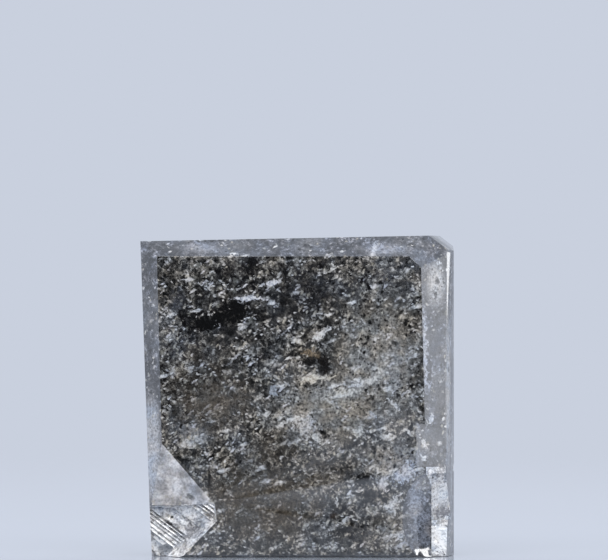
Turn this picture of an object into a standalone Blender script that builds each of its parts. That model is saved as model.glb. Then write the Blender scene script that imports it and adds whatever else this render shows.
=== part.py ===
"""A salt and pepper diamond: one bevelled, nearly square block that stands on its flat lower side.

The origin is the middle of the base. +X is to the right of the table, -Y is where the table faces, +Z is up.
"""

import math

import bmesh
import bpy
from mathutils import Vector

MM = 0.001

# Driving dimensions of the cut stone
WIDTH = 5.60 * MM
HEIGHT = 5.72 * MM
DEPTH = 3.40 * MM
FRONT = -DEPTH / 2
BACK = DEPTH / 2
RIGHT = WIDTH / 2
LEFT = -WIDTH / 2

# The frame of bevels round the table, as the places of its inner and outer edges
TABLE_TOP = 5.345 * MM
TABLE_LEFT = -2.455 * MM
TABLE_RIGHT = 2.235 * MM
TABLE_MIDDLE_Z = 3.60 * MM
TABLE_CORNER_X = 1.985 * MM
RIGHT_BREAK = 2.655 * MM
TOP_AT_LEFT = 5.615 * MM
CORNER_CUT = 0.172 * MM
BASE_CHAMFER = 0.035 * MM

# Angles of the front facets: 0 lies in the table, 90 in a side wall
BEVEL_ANGLE = 43
RIGHT_BEVEL_ANGLE = 38
RIGHT_STEP_ANGLE = 77
TABLE_CORNER_ANGLE = 37
CORNER_CUT_ANGLE = 84
BASE_CHAMFER_ANGLE = 45

# Bearings of the corner facets, counterclockwise from the right as seen from the front
TABLE_CORNER_BEARING = 47
CORNER_CUT_BEARING = 53

# The sides lean by a few degrees, because the stone isn't a true square
LEFT_LEAN = 2.0
LEFT_BEVEL_LEAN = 1.5
RIGHT_BEVEL_LEAN = 1.4
TOP_SLOPE = 1.13

# The back is cut in two steps round a small flat face
GIRDLE_BACK = 0.35 * MM
SECOND_STEP = 1.02 * MM
STEP_ANGLES = (62, 38)
LEFT_STEP_X = -2.705 * MM
TOP_STEP_Z = 5.670 * MM
SIDE_STEP_Z = 2.8 * MM
BASE_BACK = 1.02 * MM
BASE_BACK_ANGLE = 46

# Corner facets of the back: (x, z, bearing) of each
BACK_CORNERS = ((-2.30, 5.20, 135), (2.42, 5.15, 45), (-2.30, 0.35, 225), (2.45, 0.38, 315))
BACK_CORNER_Y = 0.60 * MM
BACK_CORNER_ANGLE = 52

# A facet rubbed on the lower left of the table
RUB_TOP = Vector((-2.391, 0, 1.990)) * MM
RUB_INNER = Vector((-1.520, 0, 0.985)) * MM
RUB_REACH = 1.5 * MM
RUB_SLOPE = 13

# Cleavage steps broken out under that facet, which run down to the right
STEPS_TOP = 0.955 * MM
STEPS_TOP_LEAN = 0.35
STEPS_CORNER = Vector((-1.470, 0, 0.930)) * MM
STEPS_ELBOW = Vector((-1.430, 0, 0.640)) * MM
STEPS_FOOT = Vector((-2.050, 0, 0)) * MM
STEPS_RUN_DOWN = 37
STEPS_RUN_BACK = 2.4 * MM
STEPS_LENGTH = 5.0 * MM
STEPS_END_LEAN = 60

# (width, drop, rise back to the next edge) of each step, from the table out
STEPS = (
    (0.060, 0.045, 0.020),
    (0.070, 0.050, 0.022),
    (0.060, 0.045, 0.024),
    (0.080, 0.050, 0.010),
    (0.220, 0.080, -0.030),
    (0.260, 0.050, 0.035),
    (0.055, 0.050, 0.022),
    (0.065, 0.055, 0.026),
    (0.055, 0.050, 0.024),
    (0.075, 0.055, 0.020),
    (0.065, 0.050, 0.022),
    (0.080, 0.050, 0.012),
    (0.300, 0.090, -0.050),
    (0.400, 0.050, 0.020),
)
STEP_WALL = 0.018 * MM

# A shell-shaped hollow over the right edge of the table, near the base
HOLLOW_MIDDLE = Vector((2.380, -2.300, 0.700)) * MM
HOLLOW_HALF = Vector((0.880, 0.740, 1.350)) * MM
HOLLOW_SEGMENTS = 72
HOLLOW_RINGS = 36

# Ledges broken out of the right bevel: (foot, head, depth at the left, depth at the right, tilt) of each
LEDGE_LEFT = 2.385 * MM
LEDGES = (
    (0.930, 1.480, -1.430, -1.080, 0.200),
    (0.640, 0.950, -1.330, -0.760, 0.060),
    (-0.300, 0.660, -1.440, -1.230, -0.180),
)

# A flat chip along the right edge of the table, above the ledges
CHIP_TOP = 2.360 * MM
CHIP_FOOT = 1.600 * MM
CHIP_LEFT = 2.115 * MM
CHIP_SLOPE = 31

# Small chips out of the edges and breaks: (place, half size) of each
NICKS = (
    (Vector((-2.640, -1.30, 5.640)), Vector((0.060, 0.50, 0.055))),
    (Vector((-2.815, -1.25, 5.190)), Vector((0.045, 0.45, 0.080))),
    (Vector((2.815, -0.70, 1.560)), Vector((0.050, 0.40, 0.090))),
    (Vector((1.100, 1.72, 4.450)), Vector((0.160, 0.12, 0.090))),
    (Vector((-2.700, 0.55, 2.300)), Vector((0.090, 0.16, 0.240))),
    (Vector((0.300, 0.40, 5.690)), Vector((0.240, 0.15, 0.060))),
    (Vector((-2.080, -1.64, 0.800)), Vector((0.260, 0.17, 0.150))),
    (Vector((-2.330, -1.22, 0.090)), Vector((0.210, 0.18, 0.160))),
)

OVERSIZE = 2.0 * MM
LEDGE_OVERSIZE = 0.3 * MM
SAME_PLACE = 1e-7


def clear_scene():
    for obj in list(bpy.data.objects):
        bpy.data.objects.remove(obj)


def turned(x, z, degrees):
    """The direction (x, 0, z) turned in the XZ plane, counterclockwise as seen from the front."""
    a = math.radians(degrees)
    return Vector((x * math.cos(a) - z * math.sin(a), 0, x * math.sin(a) + z * math.cos(a)))


def crown_normal(outward, angle):
    """Normal of a front facet: angle is 0 on the table and 90 on a side wall."""
    a = math.radians(angle)
    return outward * math.sin(a) + Vector((0, -math.cos(a), 0))


def pavilion_normal(outward, angle):
    """Normal of a back facet: angle is 0 on the back face and 90 on a side wall."""
    a = math.radians(angle)
    return outward * math.sin(a) + Vector((0, math.cos(a), 0))


def cut_facet(bm, point, normal):
    """Takes off all that lies outside a plane and closes the cut with one flat face."""
    bmesh.ops.bisect_plane(
        bm,
        geom=bm.verts[:] + bm.edges[:] + bm.faces[:],
        dist=SAME_PLACE,
        plane_co=point,
        plane_no=normal,
        clear_outer=True,
    )
    rim = [e for e in bm.edges if e.is_boundary]
    if rim:
        bmesh.ops.holes_fill(bm, edges=rim, sides=0)


def block(bm, low, high):
    """A closed box between two corners."""
    made = bmesh.ops.create_cube(bm, size=1.0)
    size = high - low
    middle = (high + low) / 2
    for v in made["verts"]:
        v.co = Vector((v.co.x * size.x, v.co.y * size.y, v.co.z * size.z)) + middle


def ellipsoid(bm, middle, half):
    """Turns a unit ball, already in bm, into an ellipsoid round middle."""
    for v in bm.verts:
        v.co = Vector((v.co.x * half.x, v.co.y * half.y, v.co.z * half.z)) + middle


def as_object(name, bm):
    bmesh.ops.remove_doubles(bm, verts=bm.verts[:], dist=SAME_PLACE)
    bmesh.ops.recalc_face_normals(bm, faces=bm.faces[:])
    mesh = bpy.data.meshes.new(name)
    bm.to_mesh(mesh)
    bm.free()
    obj = bpy.data.objects.new(name, mesh)
    bpy.context.scene.collection.objects.link(obj)
    return obj


def side_directions():
    return {
        "left": turned(-1, 0, LEFT_LEAN),
        "top": turned(0, 1, TOP_SLOPE),
        "right": Vector((1, 0, 0)),
        "base": Vector((0, 0, -1)),
    }


def cut_sides(bm, sides):
    top_left = Vector((LEFT, 0, TOP_AT_LEFT))
    cut_facet(bm, top_left, sides["left"])
    cut_facet(bm, top_left, sides["top"])
    corner = Vector((RIGHT, 0, HEIGHT - CORNER_CUT))
    cut_facet(bm, corner, crown_normal(turned(1, 0, CORNER_CUT_BEARING), CORNER_CUT_ANGLE))


def cut_crown(bm, sides):
    """The frame: one bevel at the top and left, two at the right, and none at the base."""
    cut_facet(bm, Vector((0, FRONT, TABLE_TOP)), crown_normal(Vector((0, 0, 1)), BEVEL_ANGLE))
    left_edge = Vector((TABLE_LEFT, FRONT, TABLE_MIDDLE_Z))
    cut_facet(bm, left_edge, crown_normal(turned(-1, 0, LEFT_BEVEL_LEAN), BEVEL_ANGLE))
    right_edge = Vector((TABLE_RIGHT, FRONT, TABLE_MIDDLE_Z))
    cut_facet(bm, right_edge, crown_normal(turned(1, 0, RIGHT_BEVEL_LEAN), RIGHT_BEVEL_ANGLE))
    break_depth = (RIGHT_BREAK - TABLE_RIGHT) * math.tan(math.radians(RIGHT_BEVEL_ANGLE))
    outer_edge = Vector((RIGHT_BREAK, FRONT + break_depth, TABLE_MIDDLE_Z))
    cut_facet(bm, outer_edge, crown_normal(sides["right"], RIGHT_STEP_ANGLE))
    table_corner = Vector((TABLE_CORNER_X, FRONT, TABLE_TOP))
    cut_facet(bm, table_corner, crown_normal(turned(1, 0, TABLE_CORNER_BEARING), TABLE_CORNER_ANGLE))
    cut_facet(bm, Vector((0, FRONT, BASE_CHAMFER)), crown_normal(sides["base"], BASE_CHAMFER_ANGLE))


def cut_pavilion(bm, sides):
    """Two steps at the top, left and right of the back, one above the base, and corners between them."""
    reach = {
        "left": Vector((LEFT_STEP_X, 0, SIDE_STEP_Z)),
        "top": Vector((0, 0, TOP_STEP_Z)),
        "right": Vector((RIGHT, 0, SIDE_STEP_Z)),
    }
    first, second = STEP_ANGLES
    inset = (SECOND_STEP - GIRDLE_BACK) / math.tan(math.radians(first))
    for name, place in reach.items():
        outward = sides[name]
        start = Vector((place.x, GIRDLE_BACK, place.z))
        cut_facet(bm, start, pavilion_normal(outward, first))
        turn = start - outward * inset
        turn.y = SECOND_STEP
        cut_facet(bm, turn, pavilion_normal(outward, second))
    cut_facet(bm, Vector((0, BASE_BACK, 0)), pavilion_normal(sides["base"], BASE_BACK_ANGLE))
    for x, z, bearing in BACK_CORNERS:
        place = Vector((x * MM, BACK_CORNER_Y, z * MM))
        cut_facet(bm, place, pavilion_normal(turned(1, 0, bearing), BACK_CORNER_ANGLE))


def cut_stone():
    """The whole stone before its breaks."""
    bm = bmesh.new()
    block(bm, Vector((LEFT, FRONT, 0)), Vector((RIGHT, BACK, HEIGHT)))
    sides = side_directions()
    cut_sides(bm, sides)
    cut_crown(bm, sides)
    cut_pavilion(bm, sides)
    return as_object("diamond", bm)


def prism(corners, way):
    """A closed prism: a flat polygon, given by its corners, swept along way."""
    bm = bmesh.new()
    face = bm.faces.new([bm.verts.new(c) for c in corners])
    swept = bmesh.ops.extrude_face_region(bm, geom=[face])
    moved = [v for v in swept["geom"] if isinstance(v, bmesh.types.BMVert)]
    bmesh.ops.translate(bm, verts=moved, vec=way)
    return bm


def open_to_the_front(corners):
    """A prism whose floor is the flat polygon through corners and that reaches out past the table."""
    return prism(corners, Vector((0, -OVERSIZE, 0)))


def rub_cutter():
    """The plane through the rubbed facet's inner edge, sloping back to the lower left."""
    edge = RUB_INNER - RUB_TOP
    across = Vector((edge.z, 0, -edge.x)).normalized()
    fall = Vector((0, RUB_REACH * math.tan(math.radians(RUB_SLOPE)), 0))
    corners = [Vector((p.x, FRONT, p.z)) for p in (RUB_TOP - edge * 0.5, RUB_INNER + edge * 0.02)]
    corners += [c + across * RUB_REACH + fall for c in reversed(corners)]
    bm = open_to_the_front(corners)
    cut_facet(bm, Vector((0, 0, STEPS_TOP - BASE_CHAMFER)), Vector((0, 0, -1)))
    return as_object("rub_cutter", bm)


def step_profile():
    """(distance down the slope, depth) of each corner of the cleavage steps, from their inner edge out."""
    points = [(0.0, 0.0)]
    across = 0.0
    depth = 0.0
    for width, drop, rise in STEPS:
        depth += drop * MM
        points.append((across + STEP_WALL, depth))
        across += width * MM
        depth -= rise * MM
        points.append((across, depth))
    return points


def end_wall(bm, top, foot):
    """Ends the steps at a wall that slants in below the line from foot up to top."""
    line = (top - foot).normalized()
    outward = Vector((line.z, 0, -line.x))
    cut_facet(bm, Vector((foot.x, FRONT, foot.z)), pavilion_normal(outward, STEPS_END_LEAN))


def steps_cutter():
    """Cleavage steps as one prism along their run, with a wall above and two at the right."""
    run = turned(1, 0, -STEPS_RUN_DOWN)
    across = turned(-1, 0, 90 - STEPS_RUN_DOWN)
    start = Vector((STEPS_CORNER.x, FRONT, STEPS_CORNER.z)) - run * STEPS_RUN_BACK
    corners = [start + across * a + Vector((0, depth, 0)) for a, depth in step_profile()]
    last = corners[-1]
    corners.append(Vector((last.x, FRONT - OVERSIZE, last.z)))
    corners.append(start + Vector((0, -OVERSIZE, 0)))
    bm = prism(corners, run * STEPS_LENGTH)
    cut_facet(bm, Vector((0, FRONT, STEPS_TOP)), Vector((0, STEPS_TOP_LEAN, 1)).normalized())
    end_wall(bm, STEPS_CORNER, STEPS_ELBOW)
    end_wall(bm, STEPS_ELBOW, STEPS_FOOT)
    return as_object("steps_cutter", bm)


def hollow_cutter():
    bm = bmesh.new()
    bmesh.ops.create_uvsphere(bm, u_segments=HOLLOW_SEGMENTS, v_segments=HOLLOW_RINGS, radius=1.0)
    ellipsoid(bm, HOLLOW_MIDDLE, HOLLOW_HALF)
    return as_object("hollow_cutter", bm)


def ledge_cutters():
    right = RIGHT + LEDGE_OVERSIZE
    made = []
    for number, (low, high, y_left, y_right, tilt) in enumerate(LEDGES, 1):
        corners = [
            Vector((LEDGE_LEFT, (y_left + tilt / 2) * MM, low * MM)),
            Vector((right, (y_right + tilt / 2) * MM, low * MM)),
            Vector((right, (y_right - tilt / 2) * MM, high * MM)),
            Vector((LEDGE_LEFT, (y_left - tilt / 2) * MM, high * MM)),
        ]
        made.append(as_object(f"ledge_cutter_{number}", open_to_the_front(corners)))
    return made


def chip_cutter():
    """The flat chip that moves the table's right edge in."""
    right = RIGHT_BREAK
    fall = (right - CHIP_LEFT) * math.tan(math.radians(CHIP_SLOPE))
    corners = [
        Vector((CHIP_LEFT, FRONT, CHIP_FOOT)),
        Vector((right, FRONT + fall, CHIP_FOOT)),
        Vector((right, FRONT + fall, CHIP_TOP)),
        Vector((CHIP_LEFT, FRONT, CHIP_TOP)),
    ]
    return as_object("chip_cutter", open_to_the_front(corners))


def nick_cutters():
    made = []
    for number, (place, half) in enumerate(NICKS, 1):
        bm = bmesh.new()
        bmesh.ops.create_icosphere(bm, subdivisions=1, radius=1.0)
        ellipsoid(bm, place * MM, half * MM)
        made.append(as_object(f"nick_cutter_{number}", bm))
    return made


def take_away(stone, cutter):
    cutter.hide_render = True
    cutter.display_type = "WIRE"
    cut = stone.modifiers.new(cutter.name, "BOOLEAN")
    cut.operation = "DIFFERENCE"
    cut.solver = "EXACT"
    cut.object = cutter


def diamond_material():
    material = bpy.data.materials.new("salt_and_pepper_diamond")
    material.use_nodes = True
    shader = material.node_tree.nodes["Principled BSDF"]
    shader.inputs["Base Color"].default_value = (0.25, 0.25, 0.27, 1)
    shader.inputs["Metallic"].default_value = 0.0
    shader.inputs["Roughness"].default_value = 0.05
    shader.inputs["IOR"].default_value = 2.417
    return material


def main():
    clear_scene()
    stone = cut_stone()
    stone.data.materials.append(diamond_material())
    breaks = [rub_cutter(), steps_cutter(), hollow_cutter(), chip_cutter()]
    for cutter in breaks + ledge_cutters() + nick_cutters():
        take_away(stone, cutter)


main()
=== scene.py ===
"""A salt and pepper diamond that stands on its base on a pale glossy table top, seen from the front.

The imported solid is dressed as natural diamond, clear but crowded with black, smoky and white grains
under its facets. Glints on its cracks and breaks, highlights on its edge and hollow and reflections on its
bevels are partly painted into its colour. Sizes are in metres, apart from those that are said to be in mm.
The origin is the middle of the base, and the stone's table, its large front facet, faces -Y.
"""

import math

import bpy
import numpy as np
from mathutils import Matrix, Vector
from mathutils.bvhtree import BVHTree


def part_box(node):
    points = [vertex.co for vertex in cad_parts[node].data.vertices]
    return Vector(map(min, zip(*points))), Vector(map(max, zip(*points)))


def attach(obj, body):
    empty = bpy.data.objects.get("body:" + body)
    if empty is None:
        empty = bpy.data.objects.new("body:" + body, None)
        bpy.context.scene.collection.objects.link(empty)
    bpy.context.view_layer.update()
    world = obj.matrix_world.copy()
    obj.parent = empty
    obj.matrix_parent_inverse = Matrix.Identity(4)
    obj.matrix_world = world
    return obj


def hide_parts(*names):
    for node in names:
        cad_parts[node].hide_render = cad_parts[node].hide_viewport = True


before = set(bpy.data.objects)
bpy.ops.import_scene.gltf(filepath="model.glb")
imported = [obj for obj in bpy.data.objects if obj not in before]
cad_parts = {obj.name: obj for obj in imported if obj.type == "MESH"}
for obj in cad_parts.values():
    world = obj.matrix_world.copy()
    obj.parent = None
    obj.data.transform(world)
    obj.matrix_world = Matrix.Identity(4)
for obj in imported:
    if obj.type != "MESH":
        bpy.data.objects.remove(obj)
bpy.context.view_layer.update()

MM = 0.001
STONE_LOW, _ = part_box("diamond")
FRONT = STONE_LOW.y

# The photograph's frame in the plane of the stone's table, seen through a long lens
FRAME_WIDTH = 10.81 * MM
FRAME_MIDDLE = Vector((0.116, 0, 4.924)) * MM
LENS = 400.0
SENSOR = 36.0
CAMERA_DISTANCE = FRAME_WIDTH * LENS / SENSOR
CAMERA_CLIP = (1 * MM, 10.0)
# Light turns back many times inside the stone
BOUNCES = {"max_bounces": 16, "transmission_bounces": 16, "glossy_bounces": 8, "diffuse_bounces": 5}

# Square softboxes: place and width in mm, and radiance
SOFTBOXES = {
    "front_left_box": ((-40, -85, 85), 70, 5.0),
    "front_right_box": ((40, -88, 80), 65, 5.0),
    "top_back_box": ((10, 60, 90), 90, 2.4),
    "back_left_box": ((-90, 50, 40), 80, 1.8),
    "back_right_box": ((70, 64, 36), 60, 2.2),
    "right_box": ((100, -25, 8), 70, 0.60),
}
LIT_SPOT = Vector((0, 0, 2.8 * MM))
ROOM_COLOUR = "C9D0DE"
# The table top fades into the pale room between these distances from the stone
FLOOR_FADE = (12 * MM, 70 * MM)

# What tells the faces apart: how squarely they face the front, which is -1, and where they lie
TABLE_FACING = -0.9995
RUBBED_FACING = (-0.985, -0.96)
BEVEL_FACING = -0.15
TABLE_NEARNESS = 0.004 * MM
RUBBED_TOP = 2.0 * MM
LOWER_LEFT_BREAK = (Vector((-2.80, -1.70, 0.00)) * MM, Vector((-1.35, -0.70, 0.97)) * MM)
LOWER_RIGHT_BREAK = (Vector((2.36, -1.70, 0.00)) * MM, Vector((2.79, -0.60, 1.50)) * MM)

# Triangles of one flat facet are merged within these
MERGE_DISTANCE = 0.0005 * MM
FACET_ANGLE = math.radians(0.4)
# Long sharp edges are a little worn. Short ones belong to fresh chips and stay sharp
EDGE_WEAR = 0.010 * MM
WORN_EDGE = 0.45 * MM
WORN_ANGLE = math.radians(18)
SMOOTH_ANGLE = math.radians(14)

# Diamond bends light strongly, which also makes its facets reflect like dark mirrors
DIAMOND_IOR = 2.417
ABSORPTION_COLOUR = "C4C0B8"
ABSORPTION_PER_METRE = 2200.0

# Grains just under the facets: size in mm, lean in degrees, length against width, colour and seed.
# Most real ones are under 0.02 mm, and here the smallest are about two pixels wide so that they show
PEPPER_GRAINS = (
    (0.105, -40, 1.4, "050505", 3),
    (0.058, 55, 1.3, "050505", 4),
    (0.038, 10, 1.1, "050505", 11),
)
SALT_GRAINS = (
    (0.085, 20, 1.3, "85857F", 9),
    (0.050, 32, 1.7, "B4B2AE", 5),
    (0.036, -35, 1.9, "D4D4D4", 6),
    (0.044, 75, 1.5, "C4C0B6", 7),
    (0.034, 10, 1.9, "F0F0F0", 8),
)
# Slivers and tiny cracks that catch the light, painted white as glints, set out as the grains are
GLINTING_SHARDS = (
    (0.058, 30, 2.8, "E8E6E2", 21),
    (0.044, -36, 2.5, "C8C6C2", 22),
    (0.070, 14, 3.2, "FFFFFF", 23),
    (0.048, 64, 2.4, "CECAC0", 24),
    (0.040, 40, 3.4, "F4F4FA", 25),
)
# Grey grains that make up the smoky ground: size in mm, lean, length against width and seed
COARSE_GROUND = (0.072, 25, 1.3, 1)
FINE_GROUND = (0.038, -35, 1.3, 2)
# A step in seed slides the cells of a grain this far
SEED_STEP = (0.0013, 0.0007, 0.0003)

# Sizes in mm of the soft patterns. The specks stand for dust too fine to show, drawn far coarser
SPECKS_MM = 0.045
FIBRES_MM = 0.055
DUST_MM = 0.130
HACKLE_WIDTH_MM = 0.16
LUMPS_MM = 0.22
TINT_MM = 0.30
GLINTS_MM = 0.35
PEPPER_PATCHES_MM = 0.45
HAZE_MM = 0.75
VEIL_MM = 1.1
MINERAL_PATCHES_MM = 0.15
# Size in mm of the noise that bends a pattern's outlines, and how far it pushes them
FINE_BEND_MM = (0.060, 0.050)
WIDE_BEND_MM = (0.110, 0.200)

# Smoky ground between the grains of each finish, from the darkest to the palest
GREYS_TABLE = ((0.24, "020202"), (0.40, "2C2B29"), (0.53, "666460"), (0.69, "B0ADA6"), (0.85, "F8F6F2"))
GREYS_BEVEL = ((0.24, "0A0B0D"), (0.42, "36383D"), (0.60, "64666E"), (0.82, "C8CAD4"))
GREYS_RUBBED = ((0.15, "B6B5B8"), (0.50, "DEDDE0"), (0.90, "FEFEFF"))
# The break's ground is pale as frosted diamond, and its palest greys are painted glitter of the lamps on the
# rough steps
GREYS_BREAK = ((0.15, "626367"), (0.36, "AAABB0"), (0.58, "E8EAEE"), (0.84, "FFFFFF"))
MILKY_GREYS = ((0.35, "3E3F42"), (0.68, "B4B8C0"))
WARM_TO_COOL = ((0.38, "F3EEE8"), (0.50, "F0F0F0"), (0.62, "E8EEF6"))

# Clouds deep under the table: (x, z) and half sizes in mm, lean, softness of the edge, colour and
# strength. They were placed one by one, as all the marks below
TABLE_CLOUDS = (
    ((-1.25, 4.40), (1.45, 1.05), 0, 0.7, "08080A", 0.70),
    ((0.15, 4.60), (1.00, 0.90), 0, 0.8, "08080A", 0.70),
    ((1.45, 3.55), (1.05, 1.60), 0, 0.8, "C8C5BE", 0.46),
    ((0.40, 2.65), (1.30, 0.85), 10, 0.8, "CCC8C0", 0.44),
    ((-0.60, 0.95), (1.35, 0.95), 0, 0.7, "4E473A", 0.60),
    ((-1.60, 3.00), (1.00, 0.85), 0, 0.8, "38332C", 0.60),
    ((-1.85, 2.15), (0.45, 0.35), 0, 0.9, "C0C2C6", 0.40),
    ((1.55, 1.72), (0.75, 0.45), 10, 0.8, "C4C2BE", 0.50),
    ((1.75, 0.50), (0.60, 0.45), 0, 0.8, "A8A6A2", 0.45),
)
# Smooth veils, pale patches of tiny cracks and a long dark crack over the table's grains
TABLE_VEILS = (
    ((-0.70, 0.95), (1.35, 0.85), 0, 0.8, "625B51", 0.70),
    ((-1.45, 2.70), (1.00, 0.60), 8, 0.9, "6A645C", 0.68),
    ((-0.50, 1.90), (0.80, 0.42), 20, 0.9, "5C5750", 0.50),
    ((-2.15, 4.55), (0.22, 0.30), 0, 0.8, "54565C", 0.50),
    ((0.40, 1.45), (0.55, 0.40), 0, 0.9, "665E50", 0.45),
    ((0.95, 2.40), (0.34, 0.50), -30, 0.9, "BCB6A8", 0.25),
    ((0.62, 2.75), (0.60, 0.22), 10, 0.9, "CCC6B8", 0.25),
    ((1.72, 1.62), (0.42, 0.36), 0, 0.9, "B4BCCA", 0.30),
    ((1.20, 1.35), (0.30, 0.16), 20, 0.8, "101012", 0.60),
    ((0.45, 3.42), (0.28, 0.22), -30, 0.9, "16120E", 0.55),
    ((1.70, 3.40), (0.36, 0.70), 10, 0.9, "B8BABC", 0.35),
    ((0.10, 4.62), (0.80, 0.55), 0, 0.9, "26262A", 0.45),
    ((-1.60, 3.45), (0.80, 0.40), 0, 0.9, "45423E", 0.40),
    ((-1.36, 1.74), (0.26, 0.035), 28, 0.8, "141210", 0.85),
    ((-1.57, 1.39), (0.28, 0.035), 87, 0.8, "141210", 0.85),
    ((-1.55, 0.83), (0.36, 0.035), 95, 0.8, "141210", 0.85),
)
# Single crystals, bright cracks and spots just under the table. The white streaks are the cracks, with their
# glints of the light painted in white
TABLE_CRYSTALS_AND_GLINTS = (
    ((-1.66, 4.15), (0.44, 0.23), 8, 0.5, "040404", 1.00),
    ((-1.40, 4.25), (0.34, 0.20), 20, 0.5, "040404", 1.00),
    ((-1.12, 4.37), (0.38, 0.26), 25, 0.5, "040404", 1.00),
    ((-0.82, 5.18), (0.24, 0.24), 60, 0.7, "060608", 0.95),
    ((-0.22, 4.55), (0.14, 0.12), 0, 0.7, "060608", 0.90),
    ((-2.02, 4.30), (0.12, 0.16), 0, 0.5, "0A0A0A", 0.90),
    ((-0.84, 4.59), (0.42, 0.050), -4, 0.6, "FAFAFF", 1.00),
    ((-0.44, 4.89), (0.22, 0.050), 15, 0.6, "F4F4F8", 0.95),
    ((0.40, 3.93), (0.28, 0.075), 42, 0.6, "FFFFFF", 1.00),
    ((0.08, 3.81), (0.28, 0.055), -15, 0.6, "F0EEE8", 0.90),
    ((0.20, 3.78), (0.22, 0.060), 5, 0.6, "060504", 0.95),
    ((0.26, 3.62), (0.19, 0.10), -10, 0.5, "8C7C66", 0.80),
    ((0.22, 3.47), (0.20, 0.070), 15, 0.6, "080605", 0.95),
    ((0.48, 3.42), (0.12, 0.26), 5, 0.6, "140F0B", 0.95),
    ((0.31, 3.16), (0.36, 0.080), 8, 0.6, "F0ECE2", 0.95),
    ((0.80, 2.92), (0.42, 0.090), 6, 0.7, "ECE8DE", 0.85),
    ((1.26, 3.13), (0.34, 0.085), 24, 0.7, "F2EEE6", 0.90),
    ((-0.08, 2.44), (0.42, 0.055), 22, 0.6, "F8F6F2", 1.00),
    ((0.15, 2.33), (0.20, 0.22), 30, 0.6, "E4E6EA", 0.85),
    ((0.34, 2.12), (0.22, 0.060), -40, 0.6, "F4F2EC", 0.90),
    ((1.02, 3.05), (0.20, 0.050), 25, 0.6, "FFFFFF", 0.90),
    ((0.70, 2.86), (0.24, 0.045), 12, 0.6, "F8F6F0", 0.90),
    ((1.45, 3.30), (0.16, 0.060), -30, 0.6, "F4F2EC", 0.85),
    ((1.10, 2.22), (0.14, 0.10), 60, 0.6, "F0EEE8", 0.85),
    ((1.72, 2.70), (0.20, 0.045), -45, 0.6, "F4F4F4", 0.85),
    ((1.62, 2.12), (0.16, 0.050), 5, 0.6, "FFFFFF", 0.90),
    ((1.94, 2.24), (0.12, 0.050), -20, 0.6, "FFFFFF", 0.90),
    ((1.52, 1.52), (0.24, 0.075), -25, 0.7, "ECEAE6", 0.85),
    ((1.52, 1.28), (0.12, 0.14), 40, 0.6, "ECECF0", 0.85),
    ((1.70, 0.92), (0.11, 0.22), -15, 0.6, "E6E6E6", 0.85),
    ((-1.95, 2.02), (0.12, 0.10), 0, 0.6, "ECECEC", 0.80),
    ((-0.45, 2.95), (0.10, 0.11), 0, 0.6, "D4DAE2", 0.70),
    ((1.32, 2.52), (0.10, 0.09), 0, 0.6, "D4DAE4", 0.75),
    ((1.92, 1.50), (0.28, 0.17), 45, 0.5, "DCE2F0", 0.95),
    ((1.16, 1.38), (0.17, 0.13), 0, 0.6, "060606", 0.95),
    ((0.70, 0.96), (0.10, 0.025), 85, 0.6, "ECECEC", 0.90),
    ((0.63, 0.76), (0.08, 0.12), 0, 0.6, "2A1F15", 0.88),
    ((0.84, 0.66), (0.20, 0.050), 25, 0.6, "E4E4E4", 0.90),
    ((0.88, 0.48), (0.30, 0.13), 0, 0.6, "0A0908", 0.95),
    ((1.74, 0.39), (0.30, 0.075), 14, 0.6, "ECEEF2", 0.90),
    ((1.86, 0.22), (0.22, 0.060), 30, 0.6, "E4E6EC", 0.90),
    ((1.48, 4.87), (0.05, 0.05), 0, 0.5, "060606", 0.95),
    ((1.45, 4.46), (0.05, 0.05), 0, 0.5, "060606", 0.95),
    ((1.93, 4.16), (0.06, 0.06), 0, 0.5, "060606", 0.95),
)
# Clouds under the bevels: grey patches on the right bevel, and painted reflections of the lamps and the pale
# room, which are the white at the top of the right bevel, the white strip down the stone's right edge, the
# pale strips on the top bevel and the pale lower part of the left bevel
BEVEL_CLOUDS_AND_REFLECTIONS = (
    ((2.48, 4.85), (0.24, 0.55), 0, 0.7, "FFFFFF", 0.65),
    ((2.43, 3.70), (0.26, 0.55), 5, 0.7, "666972", 0.65),
    ((2.48, 2.75), (0.26, 0.40), -8, 0.8, "6E7078", 0.55),
    ((-2.62, 1.90), (0.25, 1.30), 0, 0.6, "DCE0E8", 0.80),
    ((2.74, 2.90), (0.13, 2.90), 0, 0.5, "FFFFFF", 1.00),
    ((-1.70, 5.50), (0.50, 0.12), 0, 0.7, "C8CCD8", 0.50),
    ((1.50, 5.48), (0.60, 0.12), 0, 0.7, "C8CCD8", 0.45),
)
# Streaks and spots in the bevels and in the hollow at the lower right. The pale line down the table's right
# edge is a painted edge highlight, and the two large pale patches low in the hollow are painted light
BEVEL_CRYSTALS_AND_PAINTED_LIGHT = (
    ((2.27, 3.72), (0.055, 0.80), 2, 0.7, "DCE0EA", 0.80),
    ((2.50, 3.80), (0.10, 0.26), -20, 0.7, "50535C", 0.75),
    ((1.36, 5.44), (0.075, 0.24), -5, 0.8, "E8ECF4", 0.75),
    ((2.26, 2.02), (0.06, 0.12), 10, 0.6, "FFFFFF", 0.90),
    ((2.36, 2.40), (0.05, 0.16), -25, 0.6, "F4F6FA", 0.80),
    ((2.53, 5.24), (0.05, 0.05), 0, 0.5, "FFFFFF", 0.95),
    ((2.24, 1.76), (0.09, 0.06), 0, 0.6, "FFFFFF", 0.90),
    ((2.25, 1.56), (0.14, 0.08), 0, 0.6, "54463A", 0.85),
    ((2.10, 0.90), (0.22, 0.60), 0, 0.9, "C4C8D2", 0.75),
    ((2.28, 0.45), (0.14, 0.50), 0, 0.8, "A4A6AE", 0.65),
)
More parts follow.
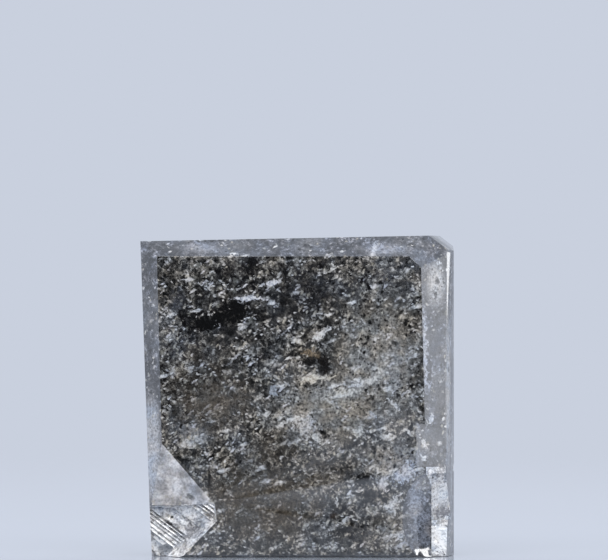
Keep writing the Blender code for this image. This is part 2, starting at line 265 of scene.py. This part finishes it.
# Bright and dark patches of the breaks at the two lower corners: the white ones are painted glints of the
# lamps on the cleavage steps and ledges, and the grey, dark and brown ones are darker marks among them
BREAK_GLINTS_AND_SPOTS = (
    ((-1.86, 0.46), (0.28, 0.16), -30, 0.6, "85868E", 0.70),
    ((-1.93, 0.80), (0.22, 0.14), -25, 0.3, "FFFFFF", 1.00),
    ((-2.52, 0.53), (0.10, 0.17), 0, 0.4, "FFFFFF", 0.95),
    ((-2.39, 0.18), (0.22, 0.17), -20, 0.3, "FFFFFF", 1.00),
    ((-1.57, 0.59), (0.09, 0.12), 0, 0.4, "F4F4F8", 0.90),
    ((-2.30, 0.60), (0.07, 0.05), 0, 0.4, "303034", 0.90),
    ((-1.72, 0.25), (0.09, 0.08), 0, 0.5, "241B14", 0.90),
    ((2.60, 1.12), (0.30, 0.26), 10, 0.4, "FFFFFF", 1.00),
    ((2.60, 0.76), (0.24, 0.10), 0, 0.4, "5C5C64", 0.85),
    ((2.57, 0.34), (0.26, 0.30), 0, 0.3, "FFFFFF", 1.00),
)
# How far out an oval's torn edge may go, against its half size
OVAL_REACH = 1.6
# How strongly the edges of veils and of crystals are torn, with the painted glints and light among the
# crystals
VEIL_FRAY = 0.35
CRYSTAL_FRAY = 0.45
# How deep behind the table plane clouds and crystals reach, with the painted reflections, glints and light
# among them
CLOUD_DEPTH = 0.8 * MM
CRYSTAL_DEPTH = 2.0 * MM

# Modelled grains: name, how many are tried, smallest and largest half length in mm, mean depth in mm,
# and their proportions. Those that would come out of the stone are left out
CROWDS = (
    ("pepper_grains", 40000, (0.015, 0.060), 0.22, (1.0, 0.8, 0.5)),
    ("smoky_grains", 40000, (0.020, 0.055), 0.22, (1.0, 0.9, 0.6)),
    ("salt_grains", 15000, (0.012, 0.070), 0.16, (1.0, 0.35, 0.15)),
)
GRAIN_SEED = 7
FRONT_SHARE = 0.5
GRAIN_MARGIN = 0.012 * MM
# Above 1, this power makes small grains commoner than large ones
SMALLNESS = 2.2
# Each side of a grain is made this much shorter or longer at random
UNEVENNESS = (0.75, 1.25)
# A four-sided grain with corners at distance 1, and its faces with their fronts outwards
TETRA = np.array([(1, 1, 1), (1, -1, -1), (-1, 1, -1), (-1, -1, 1)]) / math.sqrt(3)
TETRA_FACES = np.array([(0, 1, 2), (0, 3, 1), (0, 2, 3), (1, 3, 2)])


def hex_linear(code):
    """An sRGB hex colour as linear red, green, blue and a full alpha."""
    shades = [int(code[i:i + 2], 16) / 255 for i in (0, 2, 4)]
    return tuple(s / 12.92 if s <= 0.04045 else ((s + 0.055) / 1.055) ** 2.4 for s in shades) + (1.0,)


def node(tree, kind, links=(), stops=(), **settings):
    """Adds a node. links maps each socket to a value, a hex colour or another node's output, and stops
    are the (place, hex colour) pairs of a colour ramp."""
    made = tree.nodes.new(kind)
    for name, value in settings.items():
        setattr(made, name, value)
    for socket, value in dict(links).items():
        if isinstance(value, bpy.types.NodeSocket):
            tree.links.new(value, made.inputs[socket])
        else:
            made.inputs[socket].default_value = hex_linear(value) if isinstance(value, str) else value
    for number, (place, code) in enumerate(stops):
        points = made.color_ramp.elements
        point = points[number] if number < 2 else points.new(place)
        point.position, point.color = place, hex_linear(code)
    return made


def new_material(name):
    """A material with its node tree and its shader."""
    material = bpy.data.materials.new(name)
    material.use_nodes = True
    return material, material.node_tree, material.node_tree.nodes["Principled BSDF"]


def crowded_grains(tree, place, size_mm, lean, length, seed):
    """Cells of one size, drawn out along a line that leans up to the right.

    Gives a random value for each cell, and the distance from its middle."""
    turned = node(tree, "ShaderNodeMapping", {
        "Vector": place,
        "Location": tuple(seed * step for step in SEED_STEP),
        "Rotation": (0, -math.radians(lean), 0),
        "Scale": (length, 1, 1),
    }, vector_type="TEXTURE")
    cells = node(tree, "ShaderNodeTexVoronoi", {"Vector": turned.outputs[0], "Scale": 1 / (size_mm * MM)})
    split = node(tree, "ShaderNodeSeparateColor", {"Color": cells.outputs["Color"]})
    return split.outputs[0], cells.outputs["Distance"]


def scattered_grains(tree, place, grain, share, crowding, colour):
    """Paints a share of the cells of one size over colour, each at its own strength."""
    size_mm, lean, length, code, seed = grain
    value, distance = crowded_grains(tree, place, size_mm, lean, length, seed)
    limit = node(tree, "ShaderNodeMath", {0: crowding, 1: share}, operation="MULTIPLY")
    below = node(tree, "ShaderNodeMath", {0: limit.outputs[0], 1: value}, operation="SUBTRACT")
    strength = node(tree, "ShaderNodeMath", {0: below.outputs[0], 1: 1.3 / share}, operation="MULTIPLY",
                    use_clamp=True)
    body = node(tree, "ShaderNodeMapRange", {"Value": distance, "From Min": 0.72, "From Max": 0.25,
                                             "To Min": 0.0, "To Max": 1.0})
    mask = node(tree, "ShaderNodeMath", {0: strength.outputs[0], 1: body.outputs[0]}, operation="MULTIPLY")
    painted = node(tree, "ShaderNodeMix", {0: mask.outputs[0], 6: colour, 7: code}, data_type="RGBA")
    return painted.outputs[2]


def ovals(tree, place, spots, depth, colour, frayed=0.0):
    """Paints leaning ovals over colour, each set out from the front of the stone as the tables above say.

    frayed is how far their edges break up."""
    fibres = node(tree, "ShaderNodeTexNoise", {"Vector": place, "Scale": 1 / (FIBRES_MM * MM), "Detail": 3.0})
    tear = node(tree, "ShaderNodeMapRange", {"Value": fibres.outputs["Fac"], "From Min": 0.3, "From Max": 0.7,
                                             "To Min": OVAL_REACH - frayed, "To Max": OVAL_REACH + frayed})
    for (x, z), (half_x, half_z), lean, soft, code, strength in spots:
        turned = node(tree, "ShaderNodeMapping", {
            "Vector": place,
            "Location": (x * MM, FRONT, z * MM),
            "Rotation": (0, -math.radians(lean), 0),
            "Scale": Vector((half_x * MM, depth, half_z * MM)) * OVAL_REACH,
        }, vector_type="TEXTURE")
        near = node(tree, "ShaderNodeTexGradient", {"Vector": turned.outputs[0]}, gradient_type="SPHERICAL")
        torn = node(tree, "ShaderNodeMath", {0: near.outputs["Fac"], 1: -OVAL_REACH, 2: tear.outputs[0]},
                    operation="MULTIPLY_ADD")
        mask = node(tree, "ShaderNodeMapRange", {"Value": torn.outputs[0], "From Min": 1.0,
                                                 "From Max": 1.0 - soft, "To Min": 0.0, "To Max": strength},
                    interpolation_type="SMOOTHSTEP")
        painted = node(tree, "ShaderNodeMix", {0: mask.outputs[0], 6: colour, 7: code}, data_type="RGBA")
        colour = painted.outputs[2]
    return colour


def bent_place(tree, place, lump_mm, reach_mm):
    """place pushed about by soft noise, so that cells and ovals get ragged outlines."""
    lumps = node(tree, "ShaderNodeTexNoise", {"Vector": place, "Scale": 1 / (lump_mm * MM), "Detail": 4.0})
    push = node(tree, "ShaderNodeVectorMath", {0: lumps.outputs["Color"], 1: (-0.5, -0.5, -0.5)},
                operation="ADD")
    reach = node(tree, "ShaderNodeVectorMath", {0: push.outputs[0], "Scale": reach_mm * MM},
                 operation="SCALE")
    return node(tree, "ShaderNodeVectorMath", {0: place, 1: reach.outputs[0]}, operation="ADD").outputs[0]


def smoky_ground(tree, place, bent, greys):
    """The grey ground between the grains: two sizes of grain and a fine dust, gathered in lumps."""
    coarse, _ = crowded_grains(tree, bent, *COARSE_GROUND)
    fine, _ = crowded_grains(tree, bent, *FINE_GROUND)
    dust = node(tree, "ShaderNodeTexNoise", {"Vector": place, "Scale": 1 / (DUST_MM * MM), "Detail": 5.0,
                                             "Roughness": 0.75, "Distortion": 0.5})
    dusty = node(tree, "ShaderNodeMapRange", {"Value": dust.outputs["Fac"], "From Min": 0.30,
                                              "From Max": 0.70})
    grainy = node(tree, "ShaderNodeMix", {"Factor": 0.5, 2: coarse, 3: fine})
    tone = node(tree, "ShaderNodeMix", {"Factor": 0.60, 2: grainy.outputs[0], 3: dusty.outputs[0]})
    ground = node(tree, "ShaderNodeValToRGB", {"Fac": tone.outputs[0]}, stops=greys)
    lumps = node(tree, "ShaderNodeTexNoise", {"Vector": place, "Scale": 1 / (LUMPS_MM * MM), "Detail": 3.0})
    lumpy = node(tree, "ShaderNodeMapRange", {"Value": lumps.outputs["Fac"], "From Min": 0.32,
                                              "From Max": 0.68, "To Min": 0.45, "To Max": 1.55})
    smoky = node(tree, "ShaderNodeHueSaturation", {"Color": ground.outputs["Color"],
                                                   "Value": lumpy.outputs[0]})
    return smoky.outputs[0]


def milky_haze(tree, place, haze, colour):
    """Milky veils that drift over colour."""
    veil = node(tree, "ShaderNodeTexNoise", {"Vector": place, "Scale": 1 / (VEIL_MM * MM), "Detail": 4.0})
    milk = node(tree, "ShaderNodeValToRGB", {"Fac": veil.outputs["Fac"]}, stops=MILKY_GREYS)
    thickness = node(tree, "ShaderNodeTexNoise", {"Vector": place, "Scale": 1 / (HAZE_MM * MM),
                                                  "Detail": 4.0})
    milky = node(tree, "ShaderNodeMapRange", {"Value": thickness.outputs["Fac"], "From Min": 0.40,
                                              "From Max": 0.65, "To Min": 0.0, "To Max": 2 * haze})
    hazy = node(tree, "ShaderNodeMix", {0: milky.outputs[0], 6: colour, 7: milk.outputs["Color"]},
                data_type="RGBA")
    return hazy.outputs[2]


def salt_and_pepper(tree, place, bent, salt, pepper, shard_glints, colour):
    """Black grains over colour, then white ones and bright slivers, the slivers painted as glints, each kind
    crowded in its own patches.
    """
    patches = node(tree, "ShaderNodeTexNoise", {"Vector": place, "Scale": 1 / (PEPPER_PATCHES_MM * MM),
                                                "Detail": 2.0})
    dark_patches = node(tree, "ShaderNodeMapRange", {"Value": patches.outputs["Fac"], "From Min": 0.35,
                                                     "From Max": 0.65, "To Min": 0.3, "To Max": 1.7})
    for grain in PEPPER_GRAINS:
        colour = scattered_grains(tree, bent, grain, pepper, dark_patches.outputs[0], colour)
    glints = node(tree, "ShaderNodeTexNoise", {"Vector": bent, "Scale": 1 / (GLINTS_MM * MM), "Detail": 3.0})
    light_patches = node(tree, "ShaderNodeMapRange", {"Value": glints.outputs["Fac"], "From Min": 0.35,
                                                      "From Max": 0.65, "To Min": 0.0, "To Max": 2.6})
    for grains, share in ((SALT_GRAINS, salt), (GLINTING_SHARDS, shard_glints)):
        for grain in grains:
            colour = scattered_grains(tree, bent, grain, share, light_patches.outputs[0], colour)
    return colour


def finest_grain(tree, place, grit, colour):
    """A fine grain, and a faint warm and cool tint, over all of colour."""
    hues = node(tree, "ShaderNodeTexNoise", {"Vector": place, "Scale": 1 / (TINT_MM * MM), "Detail": 3.0})
    tint = node(tree, "ShaderNodeValToRGB", {"Fac": hues.outputs["Fac"]}, stops=WARM_TO_COOL)
    specks = node(tree, "ShaderNodeTexNoise", {"Vector": place, "Scale": 1 / (SPECKS_MM * MM), "Detail": 3.0,
                                               "Roughness": 0.75})
    bright = node(tree, "ShaderNodeMapRange", {"Value": specks.outputs["Fac"], "From Min": 0.3,
                                               "From Max": 0.7, "To Min": 1 - 0.80 * grit,
                                               "To Max": 1 + 0.90 * grit})
    grained = node(tree, "ShaderNodeHueSaturation", {"Color": colour, "Value": bright.outputs[0]})
    tinted = node(tree, "ShaderNodeMix", {0: 1.0, 6: grained.outputs[0], 7: tint.outputs["Color"]},
                  data_type="RGBA", blend_type="MULTIPLY", clamp_result=True)
    return tinted.outputs[2]


def speckled_diamond(name, greys, salt, pepper, shard_glints, haze, roughness, transmission, grit=1.0,
                     hackle_mm=0.0, clouds=(), veils=(), crystals=()):
    """Natural diamond crowded with inclusions, as it looks under one of the stone's finishes.

    The eye reads it as a clear, very bright gem that is peppered with tiny black and white crystals and
    smoky veils just under its facets. greys is the ramp of the smoky ground. salt, pepper and shard_glints
    are the shares of white grains, black grains and bright slivers, the slivers painted as glints. haze is how
    strong the milky veils are, grit how strong the finest grain is, and hackle_mm how rough a break is.
    clouds, veils and crystals are the marks given one by one, the deepest first; painted glints, highlights
    and reflections are among the clouds and crystals."""
    material, tree, shader = new_material(name)
    place = node(tree, "ShaderNodeTexCoord").outputs["Object"]
    bent = bent_place(tree, place, *FINE_BEND_MM)
    ragged = bent_place(tree, place, *WIDE_BEND_MM)

    colour = smoky_ground(tree, place, bent, greys)
    colour = milky_haze(tree, place, haze, colour)
    colour = ovals(tree, place, clouds, CLOUD_DEPTH, colour)
    colour = salt_and_pepper(tree, place, bent, salt, pepper, shard_glints, colour)
    colour = ovals(tree, bent, veils, CLOUD_DEPTH, colour, VEIL_FRAY)
    colour = ovals(tree, ragged, crystals, CRYSTAL_DEPTH, colour, CRYSTAL_FRAY)
    colour = finest_grain(tree, place, grit, colour)

    if hackle_mm:
        hackle = node(tree, "ShaderNodeTexNoise", {"Vector": place, "Scale": 1 / (HACKLE_WIDTH_MM * MM),
                                                   "Detail": 4.0})
        bump = node(tree, "ShaderNodeBump", {"Height": hackle.outputs["Fac"], "Distance": hackle_mm * MM})
        tree.links.new(bump.outputs[0], shader.inputs["Normal"])
    tree.links.new(colour, shader.inputs["Base Color"])
    shader.inputs["Roughness"].default_value = roughness
    shader.inputs["IOR"].default_value = DIAMOND_IOR
    shader.inputs["Transmission Weight"].default_value = transmission
    absorption = node(tree, "ShaderNodeVolumeAbsorption", {"Color": ABSORPTION_COLOUR,
                                                           "Density": ABSORPTION_PER_METRE})
    tree.links.new(absorption.outputs[0], tree.nodes["Material Output"].inputs["Volume"])
    return material


def diamond_finishes():
    """The stone's finishes, each with the test for its faces. A face takes the first whose test it passes."""
    # Diamond polished on the wheel: the table is mirror smooth, over a sharp crowd of black and white
    polished = speckled_diamond("polished_salt_and_pepper_diamond", GREYS_TABLE, salt=0.055, pepper=0.20,
                                shard_glints=0.028, haze=0.15, roughness=0.03, transmission=0.35,
                                clouds=TABLE_CLOUDS, veils=TABLE_VEILS, crystals=TABLE_CRYSTALS_AND_GLINTS)
    # Polished bevels: they reflect the pale room, so few grains show and veils look milky and bluish. Their
    # clouds and crystals add painted reflections of the lamps and room, and painted light on the table's edge
    # and in the hollow
    bevelled = speckled_diamond("bevelled_salt_and_pepper_diamond", GREYS_BEVEL, salt=0.008, pepper=0.07,
                                shard_glints=0.010, haze=0.30, roughness=0.05, transmission=0.35, grit=0.8,
                                clouds=BEVEL_CLOUDS_AND_REFLECTIONS, crystals=BEVEL_CRYSTALS_AND_PAINTED_LIGHT)
    # Diamond rubbed dull by wear: a pale satin facet that hides most grains
    rubbed = speckled_diamond("rubbed_diamond", GREYS_RUBBED, salt=0.02, pepper=0.01,
                              shard_glints=0.008, haze=0.10, roughness=0.25, transmission=0.30, grit=0.5)
    # Cleaved diamond, split along its own planes: rough little steps, pale as frosted diamond, whose glitter
    # is painted in nearly white
    broken = speckled_diamond("cleaved_diamond", GREYS_BREAK, salt=0.06, pepper=0.04,
                              shard_glints=0.015, haze=0.05, roughness=0.22, transmission=0.15, grit=0.85,
                              hackle_mm=0.03, crystals=BREAK_GLINTS_AND_SPOTS)
    # Polished facets of the sides and back: more light goes through, so they look deep and smoky
    faceted = speckled_diamond("faceted_salt_and_pepper_diamond", GREYS_TABLE, salt=0.030, pepper=0.20,
                               shard_glints=0.014, haze=0.35, roughness=0.02, transmission=0.50)
    return (
        (broken, is_broken),
        (polished, is_table),
        (rubbed, is_rubbed),
        (bevelled, is_bevel),
        (faceted, lambda face: True),
    )


def mineral_grain(name, code, pale_code, roughness):
    """A tiny crystal locked in the diamond, a little uneven in colour from one grain to the next."""
    material, tree, shader = new_material(name)
    place = node(tree, "ShaderNodeTexCoord").outputs["Object"]
    patches = node(tree, "ShaderNodeTexNoise", {"Vector": place, "Scale": 1 / (MINERAL_PATCHES_MM * MM),
                                                "Detail": 2.0})
    colour = node(tree, "ShaderNodeValToRGB", {"Fac": patches.outputs["Fac"]},
                  stops=((0.40, code), (0.65, pale_code)))
    tree.links.new(colour.outputs["Color"], shader.inputs["Base Color"])
    shader.inputs["Roughness"].default_value = roughness
    return material


def mineral_grains():
    """What the modelled grains are made of, in the order of CROWDS."""
    # Graphite: dull black flakes with a faint grey sheen
    graphite = mineral_grain("graphite_grain", "0A0A0C", "1C1C20", 0.45)
    # Small crystals with a film of graphite on them: a half bright, glassy grey
    smoky = mineral_grain("smoky_grain", "505256", "8A8C90", 0.35)
    # Pale crystals and tiny cracks: bright, glassy white flecks
    white = mineral_grain("white_grain", "A8A8A6", "E4E4E4", 0.30)
    return graphite, smoky, white


def deselect_all():
    """Leaves nothing selected and nothing active, because an operator acts on all that is selected."""
    bpy.ops.object.select_all(action="DESELECT")
    bpy.context.view_layer.objects.active = None


def within(point, box):
    """Whether the point is in the box between two corners."""
    low, high = box
    return all(low[i] <= point[i] <= high[i] for i in range(3))


def is_broken(face):
    """The cleavage steps at the lower left, and the ledges at the lower right."""
    return within(face.center, LOWER_LEFT_BREAK) or within(face.center, LOWER_RIGHT_BREAK)


def is_rubbed(face):
    """The facet rubbed on the lower left of the table, which slopes less than the bevels."""
    least, most = RUBBED_FACING
    return face.center.z < RUBBED_TOP and face.center.x < 0 and least < face.normal.y < most


def is_table(face):
    """The large flat facet at the front."""
    return face.normal.y < TABLE_FACING and face.center.y < FRONT + TABLE_NEARNESS


def is_bevel(face):
    """Whatever else slopes back from the front."""
    return face.normal.y < BEVEL_FACING


def stone_body():
    """The clear stone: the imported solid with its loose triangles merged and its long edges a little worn."""
    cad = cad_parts["diamond"]
    stone = bpy.data.objects.new("clear_stone", cad.data.copy())
    bpy.context.scene.collection.objects.link(stone)
    deselect_all()
    stone.select_set(True)
    bpy.context.view_layer.objects.active = stone
    bpy.ops.object.mode_set(mode="EDIT")
    bpy.ops.mesh.select_all(action="SELECT")
    bpy.ops.mesh.remove_doubles(threshold=MERGE_DISTANCE)
    bpy.ops.mesh.dissolve_limited(angle_limit=FACET_ANGLE)
    bpy.ops.mesh.select_all(action="DESELECT")
    bpy.ops.mesh.select_mode(type="EDGE")
    bpy.ops.mesh.edges_select_sharp(sharpness=WORN_ANGLE)
    bpy.ops.object.mode_set(mode="OBJECT")
    points = stone.data.vertices
    for edge in stone.data.edges:
        start, end = (points[v].co for v in edge.vertices)
        edge.select = edge.select and (end - start).length > WORN_EDGE
    bpy.ops.object.mode_set(mode="EDIT")
    bpy.ops.mesh.bevel(offset=EDGE_WEAR, segments=2, affect="EDGES", clamp_overlap=True)
    bpy.ops.object.mode_set(mode="OBJECT")
    bpy.ops.object.shade_smooth_by_angle(angle=SMOOTH_ANGLE)
    stone.data.materials.clear()
    return stone


def finish_faces(stone, finishes):
    """Gives each face the first finish whose test it passes."""
    for material, _ in finishes:
        stone.data.materials.append(material)
    for face in stone.data.polygons:
        face.material_index = next(i for i, (_, test) in enumerate(finishes) if test(face))


def sample_under_facets(stone, count, depth, rng):
    """Random places under the stone's facets, most of them shallow, and FRONT_SHARE of them in front."""
    mesh = stone.data
    mesh.calc_loop_triangles()
    corners = np.array([[mesh.vertices[v].co for v in t.vertices] for t in mesh.loop_triangles])
    normals = np.array([t.normal for t in mesh.loop_triangles])
    areas = np.array([t.area for t in mesh.loop_triangles])
    front = normals[:, 1] < BEVEL_FACING
    weights = np.where(front, FRONT_SHARE / areas[front].sum(), (1 - FRONT_SHARE) / areas[~front].sum())
    weights *= areas
    chosen = rng.choice(len(areas), size=count, p=weights / weights.sum())
    a, b = rng.random((2, count, 1))
    flip = a + b > 1
    a, b = np.where(flip, 1 - a, a), np.where(flip, 1 - b, b)
    tri = corners[chosen]
    places = tri[:, 0] * (1 - a - b) + tri[:, 1] * a + tri[:, 2] * b
    return places - normals[chosen] * (GRAIN_MARGIN * 2 + rng.exponential(depth, (count, 1)))


def keep_inside(skin, places, reach):
    """The places that lie inside the stone's skin by more than reach, as their numbers."""
    kept = []
    for number, place in enumerate(places):
        spot, normal, _, distance = skin.find_nearest(Vector(place))
        if distance > reach[number] and normal.dot(Vector(place) - spot) < 0:
            kept.append(number)
    return kept


def random_turns(count, rng):
    """Rotation matrices in even random directions, from random quaternions."""
    q = rng.normal(size=(count, 4))
    q /= np.linalg.norm(q, axis=1, keepdims=True)
    w, x, y, z = q.T
    rows = np.array([
        [1 - 2 * (y * y + z * z), 2 * (x * y - z * w), 2 * (x * z + y * w)],
        [2 * (x * y + z * w), 1 - 2 * (x * x + z * z), 2 * (y * z - x * w)],
        [2 * (x * z - y * w), 2 * (y * z + x * w), 1 - 2 * (x * x + y * y)],
    ])
    return rows.transpose(2, 0, 1)


def crowd(name, places, halves, rng, material):
    """One mesh of many four-sided grains. halves gives the half size of each along its own axes."""
    turns = random_turns(len(places), rng)
    shapes = TETRA[None] * halves[:, None, :]
    points = np.einsum("nij,nkj->nki", turns, shapes) + places[:, None, :]
    faces = (TETRA_FACES[None] + len(TETRA) * np.arange(len(places))[:, None, None]).reshape(-1, 3)
    mesh = bpy.data.meshes.new(name)
    mesh.from_pydata(points.reshape(-1, 3).tolist(), [], faces.tolist())
    mesh.materials.append(material)
    grains = bpy.data.objects.new(name, mesh)
    bpy.context.scene.collection.objects.link(grains)
    return grains


def spread(ends, draws):
    """Random draws from 0 to 1, spread between two ends."""
    low, high = ends
    return low + (high - low) * draws


def grains_under_facets(name, stone, skin, count, half_mm, depth_mm, shape, material, seed):
    """Grains of one colour in the stone, with a row of CROWDS as their sizes, depth and shape."""
    rng = np.random.default_rng(GRAIN_SEED + seed)
    places = sample_under_facets(stone, count, depth_mm * MM, rng)
    lengths = spread(half_mm, rng.random(count) ** SMALLNESS) * MM
    halves = lengths[:, None] * np.array(shape)[None] * spread(UNEVENNESS, rng.random((count, 3)))
    kept = keep_inside(skin, places, halves.max(axis=1) + GRAIN_MARGIN)
    return crowd(name, places[kept], halves[kept], rng, material)


def soft_light(name, place_mm, size_mm, radiance):
    """A square softbox that shines at the stone and that the camera doesn't see."""
    lamp = bpy.data.lights.new(name, "AREA")
    lamp.size = size_mm * MM
    lamp.energy = radiance * math.pi * lamp.size ** 2
    holder = bpy.data.objects.new(name, lamp)
    bpy.context.scene.collection.objects.link(holder)
    holder.location = Vector(place_mm) * MM
    holder.rotation_euler = (LIT_SPOT - holder.location).to_track_quat("-Z", "Y").to_euler()
    holder.visible_camera = False


def stage_plane(name, size_mm, place_mm, rotation, code, roughness):
    """A flat card or table top of the studio."""
    deselect_all()
    place = Vector(place_mm) * MM
    bpy.ops.mesh.primitive_plane_add(size=size_mm * MM, location=place, rotation=rotation)
    plane = bpy.context.object
    plane.name = name
    material, tree, shader = new_material(name)
    shader.inputs["Base Color"].default_value = hex_linear(code)
    shader.inputs["Roughness"].default_value = roughness
    plane.data.materials.append(material)
    return plane, tree, shader


def studio():
    """A pale room with softboxes, a glossy table top, and a dark card that the facets reflect."""
    world = bpy.data.worlds.new("pale_room")
    bpy.context.scene.world = world
    world.use_nodes = True
    world.node_tree.nodes["Background"].inputs["Color"].default_value = hex_linear(ROOM_COLOUR)
    world.node_tree.nodes["Background"].inputs["Strength"].default_value = 1.0
    for name, (place_mm, size_mm, radiance) in SOFTBOXES.items():
        soft_light(name, place_mm, size_mm, radiance)

    # Lacquered board: pale and glossy, so that the stone's foot shows in it
    _, tree, shader = stage_plane("glossy_table_top", 1200, (0, 0, -0.01), (0, 0, 0), "A4A9B2", 0.10)
    place = node(tree, "ShaderNodeTexCoord").outputs["Object"]
    far = node(tree, "ShaderNodeVectorMath", {0: place}, operation="LENGTH")
    solid = node(tree, "ShaderNodeMapRange", {"Value": far.outputs["Value"], "From Min": FLOOR_FADE[0],
                                              "From Max": FLOOR_FADE[1], "To Min": 1.0, "To Max": 0.0})
    tree.links.new(solid.outputs[0], shader.inputs["Alpha"])

    # Matt black card behind the camera: the front facets reflect it and stay dark
    card, _, _ = stage_plane("dark_card", 150, (0, -135, 10), (math.pi / 2, 0, 0), "18191C", 0.8)
    card.visible_camera = False


def camera():
    """The camera in front of the stone, level with the middle of the photograph's frame."""
    lens = bpy.data.cameras.new("camera")
    lens.lens = LENS
    lens.sensor_width = SENSOR
    lens.clip_start, lens.clip_end = CAMERA_CLIP
    holder = bpy.data.objects.new("camera", lens)
    bpy.context.scene.collection.objects.link(holder)
    holder.location = Vector((FRAME_MIDDLE.x, FRONT - CAMERA_DISTANCE, FRAME_MIDDLE.z))
    holder.rotation_euler = (math.pi / 2, 0, 0)
    bpy.context.scene.camera = holder


def main():
    """Sets the studio, dresses the stone and fills it with grains."""
    scene = bpy.context.scene
    scene.view_settings.view_transform = "Standard"
    for kind, count in BOUNCES.items():
        setattr(scene.cycles, kind, count)
    camera()
    studio()

    stone = stone_body()
    skin = BVHTree.FromPolygons([v.co for v in stone.data.vertices],
                                [p.vertices for p in stone.data.polygons])
    finish_faces(stone, diamond_finishes())
    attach(stone, "root")
    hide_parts("diamond")

    for seed, (row, material) in enumerate(zip(CROWDS, mineral_grains())):
        name, count, half_mm, depth_mm, shape = row
        grains = grains_under_facets(name, stone, skin, count, half_mm, depth_mm, shape, material, seed)
        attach(grains, "root")


main()
